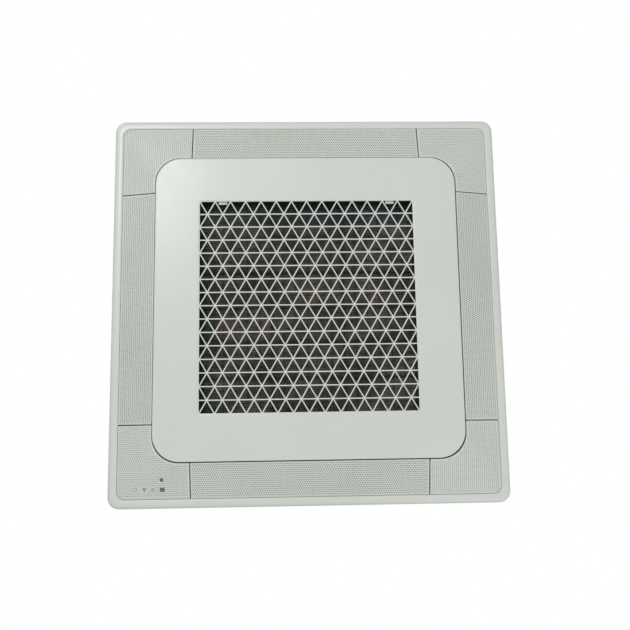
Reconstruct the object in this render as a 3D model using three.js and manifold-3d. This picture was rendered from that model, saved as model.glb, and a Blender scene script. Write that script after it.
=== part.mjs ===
// A 600 mm class four-way ceiling cassette: a square decor panel that diffuses air through
// perforated louvres and corner covers, under the fan-coil unit that it closes.
// Millimetres, +Z up. The origin is the centre of the ceiling plane, which the panel's rim
// lies against: the decor panel hangs below z = 0 and the fan-coil unit stands above it.
// The grille hinges on the +Y side and latches on the -Y side.
import * as THREE from "three";
import { mergeVertices } from "three/addons/utils/BufferGeometryUtils.js";
import Module from "manifold-3d";

const wasm = await Module();
wasm.setup();

// ---------------------------------------------------------------- driving dimensions
const GAP = 0.3; // clearance that pieces resting on each other keep
const SIDE_NAMES = ["right", "hinge_side", "left", "latch_side"]; // +X, +Y, -X, -Y
const CORNER_NAMES = ["hinge_right", "display", "latch_left", "latch_right"];

const PANEL = { half: 310, radius: 18, rimInner: 296, innerRadius: 13, crest: -8.2 };
const WEB = { bottom: 3.5, top: 6, outer: 298.5, inner: 234 }; // the panel's backing plate
const RING_WALL = { inner: 234, outer: 237, bottom: -19.2, radius: 36 };
const SLOT = { inner: 246, outer: 294, halfLength: 183.7 }; // the panel's four air outlets

// The perforated band slopes from the rim down to the grille.
const BAND = {
  outer: 295.2,
  outerRadius: 12.5,
  outerZ: -7.6,
  inner: 242.2,
  innerRadius: 41.7,
  innerZ: -21.8,
  thickness: 2.4,
};
const LOUVRE = { halfLength: 182.7, pivot: 250.5, pivotZ: -12.8, pin: 1.8, bore: 2.1, pinEnd: 180.4 };
const COVER_START = 184.2; // where a corner cover begins, beside a louvre's end
const LUG = { start: 184.6, end: 187.6, inner: 247, outer: 254, bottom: -16 };

const GRILLE = { half: 240.5, radius: 40, face: -23.5, thickness: 3, edge: 3 };
const SKIRT = { inner: 229, outer: 231.5, top: -9, radius: 30 };
const ISO = { pitch: 24.3, columns: 14, rows: 16, bar: 2 }; // triangular intake lattice
const ROW = (ISO.pitch * Math.sqrt(3)) / 2;
const OPEN_X = (ISO.pitch * ISO.columns) / 2;
const OPEN_Y = (ROW * ISO.rows) / 2;
const HINGE = { x: 150, y: 235.3, z: -19, pin: 1.1, boss: 2.1, knuckle: 2.6 };
const HINGE_HALF = { knuckle: 6, notch: 9, pin: 12.6, boss: 14 }; // half lengths, along X
const LATCH = { x: OPEN_X - 1.5 * ISO.pitch, width: 13.6, tab: 3.2, tongueEnd: 232.4 };
const FILTER = {
  halfX: 177,
  halfY: 175,
  bottom: -4,
  top: 1,
  border: 8,
  rib: 2.6,
  columns: 3,
  rows: 6,
};

// The display corner: a lamp and a receiver show through windows in its cover.
const LAMP = { x: -226.3, y: 266.4, radius: 3 };
const RECEIVER = { x: -225.5, y: 281.1, halfX: 3.8, halfY: 3.4 };
const BOARD_Z = [-4.6, -3];

const BODY = { half: 287.5, chamfer: 60, bottom: 16, top: 266, sheet: 0.8 };
const PAN = { half: 285.8, top: 56, bore: 164, slotInner: 250, slotOuter: 277 };
const COIL = { inner: 221, outer: 244, bottom: 57, top: 250, skin: 3 };
const THROAT = { radius: 119, flange: 176, lip: 61 };
const FAN = { radius: 160, eye: 124, bottom: 56, top: 152, blades: 7, plate: 3 };
const SHAFT = 5;
const HANGER = { pitch: 545, width: 46, height: 70, lugZ: 120, sheet: 2.5 };
const PIPES = { gas: 6.35, liquid: 3.175, drain: 16, wall: 0.9, end: 331 };

// ---------------------------------------------------------------- materials
const plastic = (color, roughness) =>
  new THREE.MeshStandardMaterial({ color, roughness, metalness: 0 });
const metal = (color, roughness) =>
  new THREE.MeshStandardMaterial({ color, roughness, metalness: 1 });
const WHITE = plastic(0xdde0da, 0.45);
const PERFORATED = plastic(0xd2d6d0, 0.5);
const DARK = plastic(0x26292a, 0.6);
const LENS = plastic(0x3a3d3c, 0.2);
const FOAM = plastic(0xe8e8e4, 0.9);
const GALVANISED = metal(0xb4b8ba, 0.4);
const STEEL = metal(0x9a9da0, 0.35);
const COPPER = metal(0xb87348, 0.3);
const BRASS = metal(0xc9a860, 0.3);
const ALUMINIUM = metal(0xc0c4c6, 0.45);
const BOARD = plastic(0x1d5a38, 0.5);

// ---------------------------------------------------------------- geometry helpers
// A closed surface from rows of points: rows join in turn, and the last joins the first.
function surfaceOf(points, indices) {
  const geometry = new THREE.BufferGeometry();
  const flat = points.flatMap((p) => [p.x, p.y, p.z]);
  geometry.setAttribute("position", new THREE.Float32BufferAttribute(flat, 3));
  let volume = 0;
  for (let i = 0; i < indices.length; i += 3) {
    const [a, b, c] = [points[indices[i]], points[indices[i + 1]], points[indices[i + 2]]];
    volume += a.dot(b.clone().cross(c)) / 6;
  }
  geometry.setIndex(volume < 0 ? [...indices].reverse() : indices);
  return geometry;
}

// Points of a rectangle with rounded corners, anticlockwise, the same count for every size.
function roundedLoop(halfX, halfY, radius, z, steps = 6) {
  const points = [];
  for (let corner = 0; corner < 4; corner++) {
    const cx = (corner === 0 || corner === 3 ? 1 : -1) * (halfX - radius);
    const cy = (corner < 2 ? 1 : -1) * (halfY - radius);
    for (let i = 0; i <= steps; i++) {
      const angle = ((corner + i / steps) * Math.PI) / 2;
      const x = cx + radius * Math.cos(angle);
      points.push(new THREE.Vector3(x, cy + radius * Math.sin(angle), z));
    }
  }
  return points;
}

// A closed ring swept through loops that have the same count of points.
function ringLoft(loops) {
  const count = loops[0].length;
  const indices = [];
  loops.forEach((_, row) => {
    const next = (row + 1) % loops.length;
    for (let i = 0; i < count; i++) {
      const j = (i + 1) % count;
      const [a, b, c, d] = [row * count + i, row * count + j, next * count + j, next * count + i];
      indices.push(a, b, c, a, c, d);
    }
  });
  return surfaceOf(loops.flat(), indices);
}

// A ring with a square plan: its section is a list of [half size, z]. Its corners follow it:
// their radius changes by this share of the change in half size.
function squareRing(section, baseHalf, baseRadius, steps = 6, share = 1) {
  const radiusAt = (half) => Math.max(baseRadius + share * (half - baseHalf), 0.5);
  return ringLoft(section.map(([half, z]) => roundedLoop(half, half, radiusAt(half), z, steps)));
}

function box(x0, x1, y0, y1, z0, z1) {
  const geometry = new THREE.BoxGeometry(x1 - x0, y1 - y0, z1 - z0);
  return geometry.translate((x0 + x1) / 2, (y0 + y1) / 2, (z0 + z1) / 2);
}

// A cylinder from one end to the other along an axis, at the other two coordinates.
function rod(axis, from, to, u, v, radius, sides = 20) {
  const geometry = new THREE.CylinderGeometry(radius, radius, to - from, sides);
  const middle = (from + to) / 2;
  if (axis === "x") return geometry.rotateZ(-Math.PI / 2).translate(middle, u, v);
  if (axis === "y") return geometry.translate(u, middle, v);
  return geometry.rotateX(Math.PI / 2).translate(u, v, middle);
}

function prism(outline, z0, z1, holes = []) {
  const shape = new THREE.Shape(outline.map(([x, y]) => new THREE.Vector2(x, y)));
  for (const hole of holes) {
    shape.holes.push(new THREE.Path(hole.map(([x, y]) => new THREE.Vector2(x, y))));
  }
  const geometry = new THREE.ExtrudeGeometry(shape, { depth: z1 - z0, bevelEnabled: false });
  return geometry.translate(0, 0, z0);
}

// An outline in the (x, z) plane extruded along y.
function prismAlongY(outline, y0, y1) {
  const upright = new THREE.Matrix4().makeBasis(
    new THREE.Vector3(1, 0, 0),
    new THREE.Vector3(0, 0, 1),
    new THREE.Vector3(0, -1, 0),
  );
  return prism(outline, -y1, -y0).applyMatrix4(upright);
}

// A solid of revolution about Z from a closed profile of [radius, z].
function revolved(profile, segments = 32) {
  const closed = [...profile, profile[0]].map(([r, z]) => new THREE.Vector2(r, z));
  return new THREE.LatheGeometry(closed, segments).rotateX(Math.PI / 2);
}

const quarterTurns = (geometry, turns) => geometry.clone().rotateZ((turns * Math.PI) / 2);
const onEachSide = (geometry) => [0, 1, 2, 3].map((turns) => quarterTurns(geometry, turns));

function octagon(half, chamfer) {
  const c = half - chamfer;
  return [
    [half, -c], [half, c], [c, half], [-c, half],
    [-half, c], [-half, -c], [-c, -half], [c, -half],
  ];
}

// ---------------------------------------------------------------- joining and cutting
function solid(geometry) {
  const bare = new THREE.BufferGeometry();
  bare.setAttribute("position", geometry.getAttribute("position"));
  if (geometry.index) bare.setIndex(geometry.index);
  const merged = mergeVertices(bare, 1e-4);
  const vertProperties = merged.attributes.position.array;
  const triVerts = new Uint32Array(merged.index.array);
  const made = new wasm.Manifold(new wasm.Mesh({ numProp: 3, vertProperties, triVerts }));
  if (made.volume() > 0) return made;
  for (let i = 0; i < triVerts.length; i += 3) {
    [triVerts[i + 1], triVerts[i + 2]] = [triVerts[i + 2], triVerts[i + 1]];
  }
  return new wasm.Manifold(new wasm.Mesh({ numProp: 3, vertProperties, triVerts }));
}

const join = (...shapes) => shapes.flat().map(solid).reduce((a, b) => a.add(b));
const cut = (base, ...tools) => tools.flat().map(solid).reduce((a, b) => a.subtract(b), base);

function geometryOf(made) {
  const { vertProperties, triVerts } = made.getMesh();
  const indexed = new THREE.BufferGeometry();
  indexed.setAttribute("position", new THREE.BufferAttribute(vertProperties, 3));
  indexed.setIndex([...triVerts]);
  const flat = indexed.toNonIndexed();
  flat.computeVertexNormals();
  return flat;
}

const cassette = new THREE.Group();
function add(name, shape, material, parent = cassette) {
  const geometry = shape.isBufferGeometry ? shape : geometryOf(shape);
  const mesh = new THREE.Mesh(geometry, material);
  mesh.name = name;
  parent.add(mesh);
  return mesh;
}

// A group turned by quarter turns, for what repeats on each side or in each corner.
function turned(turns) {
  const group = new THREE.Group();
  group.rotation.z = (turns * Math.PI) / 2;
  cassette.add(group);
  return group;
}

// ---------------------------------------------------------------- decor panel
// A rod on the grille's hinge axis, centred on one of the two hinges.
function hingeRod(side, halfLength, radius) {
  const x = side * HINGE.x;
  return rod("x", x - halfLength, x + halfLength, HINGE.y, HINGE.z, radius, 16);
}

function decorFrame() {
  const { half, radius, rimInner, innerRadius, crest } = PANEL;
  const rimSection = [
    [half, 0], [half, -2.2], [half - 1.4, -4.9], [half - 4.6, -7.2], [half - 9.5, crest],
    [rimInner + 1.2, crest + 0.3], [rimInner, crest + 1.2], [rimInner, WEB.top],
    [WEB.outer, WEB.top], [WEB.outer, 0],
  ];
  const rim = squareRing(rimSection, half, radius, 6, (radius - innerRadius) / (half - rimInner));
  const webSection = [
    [WEB.inner, WEB.bottom], [WEB.inner, WEB.top], [WEB.outer - 1, WEB.top],
    [WEB.outer - 1, WEB.bottom],
  ];
  const web = squareRing(webSection, WEB.outer - 1, innerRadius - 1);
  const { inner, outer, bottom } = RING_WALL;
  const wallTop = WEB.top - 0.5;
  const wallSection = [[inner, bottom], [outer, bottom], [outer, wallTop], [inner, wallTop]];
  const wall = squareRing(wallSection, outer, RING_WALL.radius);
  const lug = box(LUG.inner, LUG.outer, LUG.start, LUG.end, LUG.bottom, WEB.bottom + 1);
  const { pivot, pivotZ, pin, pinEnd } = LOUVRE;
  const idlePin = rod("y", -LUG.start - 1, -pinEnd, pivot, pivotZ, pin, 16);
  const lugs = [lug, lug.clone().translate(0, -LUG.start - LUG.end, 0), idlePin];
  const bosses = [-1, 1].map((side) => hingeRod(side, HINGE_HALF.boss, HINGE.boss));
  const boardPosts = [263, 287].map((y) =>
    rod("z", BOARD_Z[1] + GAP, WEB.bottom + 1, -216, y, 2.5, 12),
  );
  const { halfLength } = SLOT;
  const slot = box(SLOT.inner, SLOT.outer, -halfLength, halfLength, WEB.bottom - 1, WEB.top + 1);
  const shaftBore = rod("y", LUG.start - 1, LUG.end + 1, pivot, pivotZ, LOUVRE.bore, 16);
  const screwHole = rod("z", 0, 10, 262, 262, 3, 16);
  const hingeCuts = [-1, 1].flatMap((side) => {
    const [from, to] = [side * HINGE.x - HINGE_HALF.notch, side * HINGE.x + HINGE_HALF.notch];
    const pinBore = hingeRod(side, HINGE_HALF.pin + GAP, HINGE.pin + 0.1);
    return [box(from, to, inner - 2, outer + 2, bottom - 2, HINGE.z + HINGE.knuckle + 1.4), pinBore];
  });
  return cut(
    join(rim, web, wall, lugs.flatMap(onEachSide), bosses, boardPosts),
    onEachSide(slot), onEachSide(shaftBore), onEachSide(screwHole), hingeCuts,
  );
}

// The sloping band that the louvres and the corner covers are parts of.
function bandRing() {
  const { outer, outerRadius, outerZ, inner, innerRadius, innerZ, thickness } = BAND;
  return ringLoft([
    roundedLoop(outer, outer, outerRadius, outerZ, 8),
    roundedLoop(inner, inner, innerRadius, innerZ, 8),
    roundedLoop(inner, inner, innerRadius, innerZ + thickness, 8),
    roundedLoop(outer, outer, outerRadius, outerZ + thickness, 8),
  ]);
}

const bandBottom = (half) =>
  BAND.innerZ + ((half - BAND.inner) * (BAND.outerZ - BAND.innerZ)) / (BAND.outer - BAND.inner);

// A louvre turns on a pin at its idle end and on its motor's shaft at the other.
function louvre() {
  const { halfLength, pivot, pivotZ, bore } = LOUVRE;
  const { inner, outer, thickness } = BAND;
  const skin = [
    [inner, bandBottom(inner)], [outer, bandBottom(outer)],
    [outer, bandBottom(outer) + thickness], [inner, bandBottom(inner) + thickness],
  ];
  const lip = [[outer - 3, -6.5], [outer, -6.5], [outer, -3.8], [outer - 1.6, -3.8]];
  const arm = [
    [pivot - 4.5, bandBottom(pivot - 4.5) + 1], [pivot + 22, bandBottom(pivot + 22) + 1],
    [pivot + 3.2, pivotZ + 3.6], [pivot - 3.2, pivotZ + 3.6],
  ];
  const arms = [-halfLength, -1.5, halfLength - 3].map((y) => prismAlongY(arm, y, y + 3));
  const bores = [-halfLength - 1, halfLength - 4].map((y) =>
    rod("y", y, y + 5, pivot, pivotZ, bore, 16),
  );
  const plates = [skin, lip].map((outline) => prismAlongY(outline, -halfLength, halfLength));
  return cut(join(plates, arms), bores);
}

// The cover of the (+X, +Y) corner, with two snap hooks on its back.
function cornerCover(windows = []) {
  const corner = box(COVER_START, 320, COVER_START, 320, -40, 20);
  const hook = box(270, 272.4, 279, 287, -9.3, 1.5);
  const hooks = [hook, box(279, 287, 270, 272.4, -9.3, 1.5)];
  const plate = solid(bandRing()).intersect(solid(corner));
  return cut(plate.add(join(hooks)), windows);
}

// The lattice's openings as one geometry of separate triangular prisms.
function latticeHoles(z0, z1) {
  const points = [];
  const indices = [];
  // The sides of a hole lie half a bar inside the lattice lines, so it is the lattice
  // triangle shrunk about the centre of its incircle.
  const hole = (a, b, c) => {
    const sides = [b.distanceTo(c), c.distanceTo(a), a.distanceTo(b)];
    const around = sides[0] + sides[1] + sides[2];
    const centre = new THREE.Vector2();
    [a, b, c].forEach((corner, i) => centre.addScaledVector(corner, sides[i] / around));
    const doubleArea = Math.abs(b.clone().sub(a).cross(c.clone().sub(a)));
    const share = 1 - (ISO.bar / 2) / (doubleArea / around);
    const first = points.length;
    for (const z of [z0, z1]) {
      for (const corner of [a, b, c]) {
        const p = corner.clone().sub(centre).multiplyScalar(share).add(centre);
        points.push(new THREE.Vector3(p.x, p.y, z));
      }
    }
    const faces = [[0, 2, 1], [3, 4, 5], [0, 1, 4], [0, 4, 3], [1, 2, 5], [1, 5, 4], [2, 0, 3], [2, 3, 5]];
    const anticlockwise = b.clone().sub(a).cross(c.clone().sub(a)) > 0;
    for (const face of faces) {
      const corners = anticlockwise ? face : [...face].reverse();
      indices.push(...corners.map((corner) => first + corner));
    }
  };
  const line = (row) => OPEN_Y - row * ROW;
  const at = (step, y) => new THREE.Vector2(step * ISO.pitch - OPEN_X, y);
  for (let row = 0; row < ISO.rows; row++) {
    const even = row % 2 === 0;
    const [wide, narrow] = even ? [line(row), line(row + 1)] : [line(row + 1), line(row)];
    for (let i = 0; i < ISO.columns; i++) {
      hole(at(i, wide), at(i + 1, wide), at(i + 0.5, narrow));
      if (i > 0) hole(at(i - 0.5, narrow), at(i + 0.5, narrow), at(i, wide));
    }
    for (const [edge, next] of [[0, 0.5], [ISO.columns, ISO.columns - 0.5]]) {
      hole(at(edge, wide), at(edge, narrow), at(next, narrow));
    }
  }
  return surfaceOf(points, indices);
}

function intakeGrille() {
  const { half, radius, face, thickness, edge } = GRILLE;
  const back = face + thickness;
  const edgeArc = [0, 30, 60, 90].map((degrees) => {
    const angle = (degrees * Math.PI) / 180;
    const size = half - edge + edge * Math.cos(angle);
    return roundedLoop(size, size, radius - half + size, face + edge - edge * Math.sin(angle), 8);
  });
  const plate = ringLoft([
    ...edgeArc,
    roundedLoop(OPEN_X + 0.6, OPEN_Y + 0.6, 1, face, 8),
    roundedLoop(OPEN_X + 0.6, OPEN_Y + 0.6, 1, back, 8),
  ]);
  const sheet = box(-OPEN_X - 1, OPEN_X + 1, -OPEN_Y - 1, OPEN_Y + 1, face, back);
  const lattice = cut(join(sheet), latticeHoles(face - 1, back + 1));
  const { inner, outer, top } = SKIRT;
  const skirtSection = [[inner, back - 1], [outer, back - 1], [outer, top], [inner, top]];
  const skirt = squareRing(skirtSection, outer, SKIRT.radius);
  const posts = [-1, 1].flatMap((sx) =>
    [-1, -0.3, 0.3, 1].map((t) => {
      const y = t * 160;
      return box(sx * 174.5 - 2.5, sx * 174.5 + 2.5, y - 4, y + 4, back - 1, FILTER.bottom - GAP);
    }),
  );
  const guides = [-1, 1].flatMap((side) =>
    [-1, 1].map((edgeSide) => {
      const x = side * LATCH.x + edgeSide * (LATCH.width / 2 + 1.4);
      return box(x - 0.8, x + 0.8, -226, -171, back - 1, -16);
    }),
  );
  const knuckles = [-1, 1].map((side) => {
    const { x, y, z, knuckle } = HINGE;
    const outline = [
      [226, back - 1], [y + 2, back - 1], [y + knuckle, z], [y + 0.7 * knuckle, z + 0.7 * knuckle],
      [y, z + knuckle], [226, z + knuckle + 1],
    ];
    const half = HINGE_HALF.knuckle;
    const arm = prismAlongY(outline, side * x - half, side * x + half);
    return arm.rotateZ(Math.PI / 2);
  });
  const pinBores = [-1, 1].map((side) => hingeRod(side, HINGE_HALF.notch, HINGE.pin + 0.1));
  const bossGrooves = [-1, 1].flatMap((side) =>
    [-1, 1].map((end) => {
      const ends = [HINGE_HALF.notch - GAP, HINGE_HALF.boss + GAP].map((d) => side * HINGE.x + end * d);
      return rod("x", Math.min(...ends), Math.max(...ends), HINGE.y, HINGE.z, HINGE.boss + GAP, 16);
    }),
  );
  const tongueGaps = [-1, 1].map((side) => {
    const x = side * LATCH.x;
    return box(x - LATCH.width / 2 - 1, x + LATCH.width / 2 + 1, -233, -227, back, SKIRT.top + 1);
  });
  const body = join(plate, skirt, posts, guides, knuckles).add(lattice);
  return cut(body, pinBores, bossGrooves, tongueGaps);
}

// A sliding catch: its tab shows at the opening's edge and its tongue points at the wall.
function latch() {
  const w = LATCH.width / 2;
  const slab = box(-w, w, -226.5, -OPEN_Y + LATCH.tab, -19.9, -17.2);
  const riser = box(-5.2, 5.2, -226.5, -223.5, -18, -12.3);
  const tongue = box(-5.2, 5.2, -LATCH.tongueEnd, -224, -15, -12.3);
  return join(slab, riser, tongue);
}

function filterFrame() {
  const { halfX, halfY, bottom, top, border, rib, columns, rows } = FILTER;
  const stepX = (2 * (halfX - border) + rib) / columns;
  const stepY = (2 * (halfY - border) + rib) / rows;
  const cells = [];
  for (let i = 0; i < columns; i++) {
    for (let j = 0; j < rows; j++) {
      const [x, y] = [border - halfX + i * stepX, border - halfY + j * stepY];
      cells.push(box(x, x + stepX - rib, y, y + stepY - rib, bottom - 1, top));
    }
  }
  return cut(join(box(-halfX, halfX, -halfY, halfY, bottom, top - 1)), cells);
}

function filterNet() {
  const { halfX, halfY, top } = FILTER;
  return box(5 - halfX, halfX - 5, 5 - halfY, halfY - 5, top - 1 + GAP, top);
}

// A small geared stepper: a flat can with an offset output shaft and a mounting ear.
function louvreMotor() {
  const { pivot, pivotZ } = LOUVRE;
  const canZ = pivotZ + 6.5;
  const boss = rod("y", LUG.end + 0.7, LUG.end + 3, pivot, pivotZ, 4, 16);
  const can = rod("y", LUG.end + 1.9, LUG.end + 15, pivot, canZ, 9.5, 24);
  const shaft = rod("y", LOUVRE.pinEnd, LUG.end + 1, pivot, pivotZ, LOUVRE.pin, 16);
  const ear = box(pivot - 12, pivot + 17, LUG.end + 1.9, LUG.end + 3.1, canZ - 4, canZ + 4);
  const plug = box(pivot - 5, pivot + 5, LUG.end + 12, LUG.end + 19, canZ - 2, canZ + 6);
  return join(boss, shaft, can, ear, plug);
}

function panelScrew() {
  const head = revolved([[0, -1.2], [3.6, -1.2], [6.5, 0.6], [6.5, 3.2], [0, 3.2]], 16);
  const shank = rod("z", 2.6, 15.6, 0, 0, 2.5, 12);
  const slotX = box(-0.7, 0.7, -3.2, 3.2, -2, 0.6);
  return cut(join(head, shank), slotX, slotX.clone().rotateZ(Math.PI / 2));
}

function receiverWindow(grow = 0) {
  const { x, y, halfX, halfY } = RECEIVER;
  const [dx, dy] = [halfX + grow, halfY + grow];
  return box(x - dx, x + dx, y - dy, y + dy, bandBottom(y) - 4 * grow, BOARD_Z[0] - GAP);
}

function lampWindow(grow = 0) {
  const low = bandBottom(LAMP.y) - 4 * grow;
  return rod("z", low, BOARD_Z[0] - GAP, LAMP.x, LAMP.y, LAMP.radius + grow, 20);
}

function outletSeal() {
  const section = [[238, 6.3], [296, 6.3], [296, 15.7], [238, 15.7]];
  const slot = box(SLOT.inner + 1, PAN.slotOuter + 6, -SLOT.halfLength, SLOT.halfLength, 5, 17);
  const screwHole = rod("z", 5, 17, 262, 262, 4, 12);
  return cut(join(squareRing(section, 296, 14, 4)), onEachSide(slot), onEachSide(screwHole));
}

// ---------------------------------------------------------------- fan-coil unit
function drainPan() {
  const { half, top, bore, slotInner, slotOuter } = PAN;
  const block = prism(octagon(half, BODY.chamfer), BODY.bottom, top);
  const slot = box(slotInner, slotOuter, -181, 181, 0, top + 5);
  const [low, high] = [COIL.inner - 4, COIL.outer + 3];
  const trough = squareRing([[low, 37], [high, 37], [high, top + 5], [low, top + 5]], high, 40, 5);
  const controlBay = box(-215, -179, -131, 131, 0, 35);
  return cut(
    join(block),
    rod("z", 0, top + 5, 0, 0, bore, 48), onEachSide(slot), trough, controlBay,
  );
}

// The inlet bell lies under the drain pan, and its throat reaches into the fan's eye.
function bellMouth() {
  const { radius, flange, lip } = THROAT;
  return revolved([
    [flange, 13], [flange, 15.6], [radius + 44, 15.6], [radius + 31, 18.6], [radius + 15, 27],
    [radius + 5, 40], [radius + 2.4, lip], [radius, lip], [radius + 2.6, 40],
    [radius + 12.8, 25.6], [radius + 30, 16.2], [radius + 43, 13],
  ], 36);
}

// The fin pack as its two faces and its foot, open at one corner for the drain pump.
function coil() {
  const { inner, outer, bottom, top, skin } = COIL;
  const foot = bottom + 5;
  const section = [
    [inner, bottom], [outer, bottom], [outer, top], [outer - skin, top],
    [outer - skin, foot], [inner + skin, foot], [inner + skin, top], [inner, top],
  ];
  const pumpCorner = box(140, 260, -260, -140, bottom - 5, top + 10);
  return cut(join(squareRing(section, outer, 52, 6)), pumpCorner);
}

function turboFan() {
  const { radius, eye, bottom, top, blades, plate } = FAN;
  const hub = revolved([
    [SHAFT + 0.08, top - 42], [22, top - 42], [26, top - 38], [46, top - 12], [66, top - plate],
    [radius, top - plate], [radius, top], [62, top], [42, top - 9], [20, top - 36],
    [SHAFT + 0.08, top - 36],
  ]);
  const shroud = revolved([
    [eye, bottom], [eye + 2.5, bottom], [eye + 5, bottom + 8], [radius, bottom + 18],
    [radius, bottom + 20.5], [eye + 3, bottom + 10.5],
  ]);
  const bladeOutline = [];
  const steps = 6;
  const curve = (t, offset) => {
    const r = 96 + t * (radius - 98);
    const angle = -0.75 * t ** 1.15 + offset / r;
    return [r * Math.cos(angle), r * Math.sin(angle)];
  };
  for (let i = 0; i <= steps; i++) bladeOutline.push(curve(i / steps, -1.5));
  for (let i = steps; i >= 0; i--) bladeOutline.push(curve(i / steps, 1.5));
  const blade = prism(bladeOutline, bottom + 11, top - plate / 2);
  const wheel = Array.from({ length: blades }, (_, i) =>
    blade.clone().rotateZ((i * 2 * Math.PI) / blades),
  );
  return join(wheel, hub, shroud);
}

function fanMotor() {
  const can = revolved([
    [SHAFT, 190], [30, 190], [48, 194], [56, 202], [56, 236], [50, 242], [0, 242],
    [0, FAN.top - 58], [SHAFT, FAN.top - 58],
  ], 32);
  const feet = [0, 1, 2].map((i) =>
    box(40, 78, -9, 9, 236, 253.4).rotateZ((i * 2 * Math.PI) / 3 + Math.PI / 6),
  );
  return join(can, feet);
}

function fanNut() {
  const low = FAN.top - 54;
  const nut = rod("z", low, FAN.top - 42 - GAP, 0, 0, 12, 6);
  return cut(join(nut), rod("z", low - 1, FAN.top, 0, 0, SHAFT + 0.3, 20));
}

// Foam walls and a foam ceiling inside the sheet metal.
function insulation() {
  const [outer, wall] = [BODY.half - BODY.sheet - GAP, 10];
  const inner = octagon(outer - wall, BODY.chamfer - 4);
  const outline = octagon(outer, BODY.chamfer);
  const ceiling = BODY.top - BODY.sheet - GAP;
  const sides = prism(outline, PAN.top + 1, ceiling, [inner]);
  const top = prism(outline, ceiling - wall, ceiling);
  const pipeWindow = box(260, 300, -203, -82, 140, 222);
  const cableHole = rod("x", 260, 300, PORTS.cable.y, PORTS.cable.z, 9.4, 20);
  return cut(join(sides, top), pipeWindow, cableHole);
}

function casingSide(holes = []) {
  const { half, chamfer, bottom, top, sheet } = BODY;
  const flat = half - chamfer - 0.8;
  const wall = box(half - sheet, half, -flat, flat, bottom + 2, top - sheet - GAP);
  return cut(join(wall), holes);
}

function casingCorner() {
  const { half, chamfer, bottom, top, sheet } = BODY;
  const reach = (2 * half - chamfer) / Math.SQRT2;
  const width = (chamfer * Math.SQRT2) / 2 - 1.2;
  return box(reach - sheet, reach, -width, width, bottom + 2, top - sheet - GAP);
}

// An L bracket on the chamfer, with an open slot for the suspension rod.
function hanger() {
  const { pitch, width, height, lugZ, sheet } = HANGER;
  const face = (2 * BODY.half - BODY.chamfer) / Math.SQRT2 + GAP;
  const rodAt = pitch / Math.SQRT2;
  const upright = box(face, face + sheet, -width / 2, width / 2, lugZ - height / 2, lugZ + height / 2);
  const lug = box(face + 1, rodAt + 13, -width / 2, width / 2, lugZ, lugZ + sheet);
  const slot = [
    box(rodAt, rodAt + 20, -6, 6, lugZ - 5, lugZ + 8),
    rod("z", lugZ - 5, lugZ + 8, rodAt, 0, 6, 16),
  ];
  const rivets = [-1, 1].map((side) =>
    rod("x", face + 1, face + sheet + 1.6, side * 14, lugZ - 22, 3.2, 12),
  );
  return cut(join(upright, lug, rivets), slot);
}

// A sheet box for the electronics, open below, where its cover closes it.
function controlBox() {
  const shell = join(box(-214, -180, -130, 130, 2.4, 34.4));
  return cut(shell, box(-213, -181, -129, 129, 0, 33.4));
}

const tube = (radius, wall, from, to, y, z, sides) =>
  cut(
    join(rod("x", from, to, y, z, radius, sides)),
    rod("x", from - 1, to + 1, y, z, radius - wall, sides),
  );

const PORTS = {
  gas: { y: -180, z: 165 },
  liquid: { y: -146, z: 188 },
  drain: { y: -105, z: 196 },
  cable: { y: 150, z: 74 },
};

function flareNut(port, radius, hexRadius, length) {
  const { y, z } = PORTS[port];
  const [from, to] = [PIPES.end - 4 - length, PIPES.end - 4];
  const hex = join(
    rod("x", from, to - 4, y, z, hexRadius, 6),
    rod("x", to - 5, to, y, z, radius + 3, 20),
  );
  return cut(hex, rod("x", from - 1, to + 1, y, z, radius + GAP, 20));
}

function pipePlate() {
  const face = BODY.half + GAP;
  const plate = box(face, face + 1.5, -208, -78, 135, 227);
  const { gas, liquid, drain } = PORTS;
  return cut(
    join(plate),
    rod("x", face - 2, face + 4, gas.y, gas.z, PIPES.gas + 2, 20),
    rod("x", face - 2, face + 4, liquid.y, liquid.z, PIPES.liquid + 2, 20),
    rod("x", face - 2, face + 4, drain.y, drain.z, PIPES.drain + 1, 24),
  );
}

function cableGland() {
  const { y, z } = PORTS.cable;
  const face = BODY.half + GAP;
  const gland = join(
    rod("x", face, face + 5, y, z, 14, 6),
    rod("x", face + 4, face + 14, y, z, 10.5, 20),
    rod("x", face + 13, face + 24, y, z, 12.5, 6),
    rod("x", face - 12, face + 1, y, z, 9, 20),
  );
  return cut(gland, rod("x", face - 20, face + 30, y, z, 5.5, 16));
}

function drainPump() {
  const [x, y] = [222, -222];
  return join(
    rod("z", 66, 84, x, y, 20, 24),
    rod("z", 83, 132, x, y, 26, 24),
    rod("z", 131, 140, x, y, 12, 16),
    rod("x", x + 10, 262, PORTS.drain.y - 100, 110, 7, 16),
  );
}

function floatSwitch() {
  const [x, y] = [168, -236];
  return join(rod("z", 62, 76, x, y, 10, 20), rod("z", 75, 128, x, y, 4, 12));
}

// ---------------------------------------------------------------- assembly
add("decor_frame", decorFrame(), WHITE);
const louvreShape = geometryOf(louvre());
const motorShape = geometryOf(louvreMotor());
SIDE_NAMES.forEach((side, turns) => {
  const group = turned(turns);
  add("louvre_" + side, louvreShape, PERFORATED, group);
  add("louvre_motor_" + side, motorShape, WHITE, group);
});

// The display cover's windows are cut in the first corner's place, a quarter turn back.
const displayWindows = [receiverWindow(0.4), lampWindow(0.4)].map((g) => quarterTurns(g, -1));
const screwShape = geometryOf(panelScrew());
CORNER_NAMES.forEach((corner, turns) => {
  const group = turned(turns);
  const windows = corner === "display" ? displayWindows : [];
  add("corner_cover_" + corner, cornerCover(windows), PERFORATED, group);
  add("panel_screw_" + corner, screwShape, STEEL, group).position.set(262, 262, 0);
});

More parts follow.
